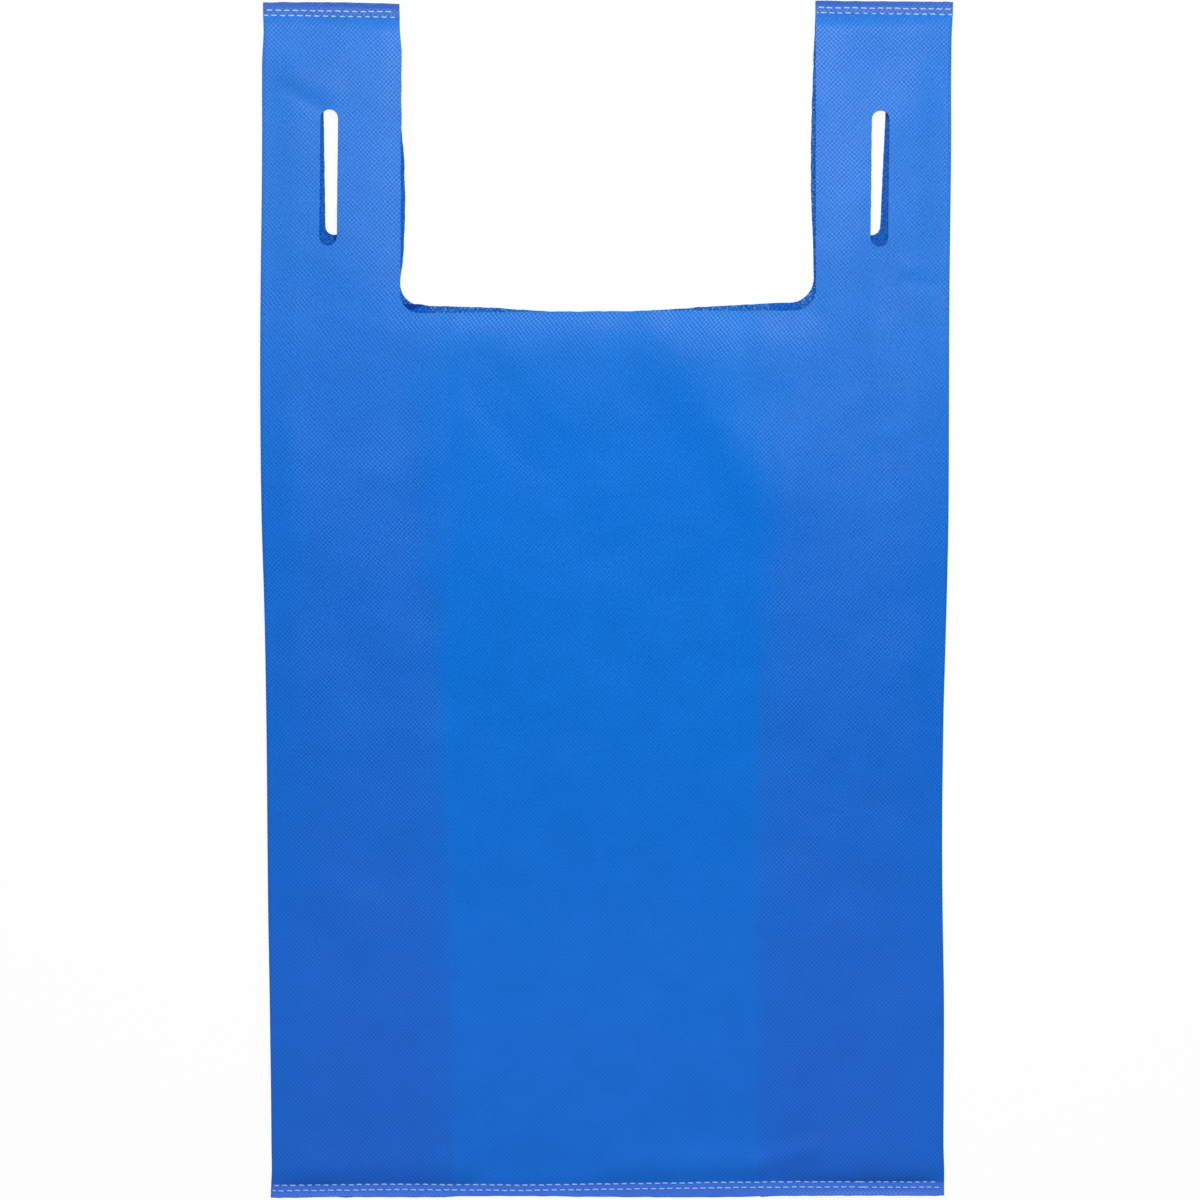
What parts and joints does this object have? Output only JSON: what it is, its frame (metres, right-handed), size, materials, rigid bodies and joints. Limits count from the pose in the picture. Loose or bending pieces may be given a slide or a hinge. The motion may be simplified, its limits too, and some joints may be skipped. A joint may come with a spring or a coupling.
{
  "type": "non-woven t-shirt bag",
  "caption": "Flat-folded carrier bag of spunbond cloth with side gussets, sewn loop handles with hanging slots, and a sewn bottom hem.",
  "frame": {"origin": "middle of the flat bag's length and width, in the plane of the underside of its back panel", "axes": "+Y up the bag from the sewn bottom to the handles, +X to the right as seen from the front, +Z out of the front panel"},
  "size_m": [0.305, 0.527, 0.0032],
  "materials": {
    "nonwoven_cloth": "blue spunbond polypropylene cloth with a fine lattice of weld points, soft sheen",
    "stitching_thread": "white twisted polyester sewing thread"
  },
  "bodies": {
    "root": {"bag_body": "nonwoven_cloth", "bottom_hem_thread_outer": "stitching_thread", "bottom_hem_thread_inner": "stitching_thread", "left_handle_thread_outer": "stitching_thread", "left_handle_thread_inner": "stitching_thread", "right_handle_thread_outer": "stitching_thread", "right_handle_thread_inner": "stitching_thread"}
  },
  "joints": []
}
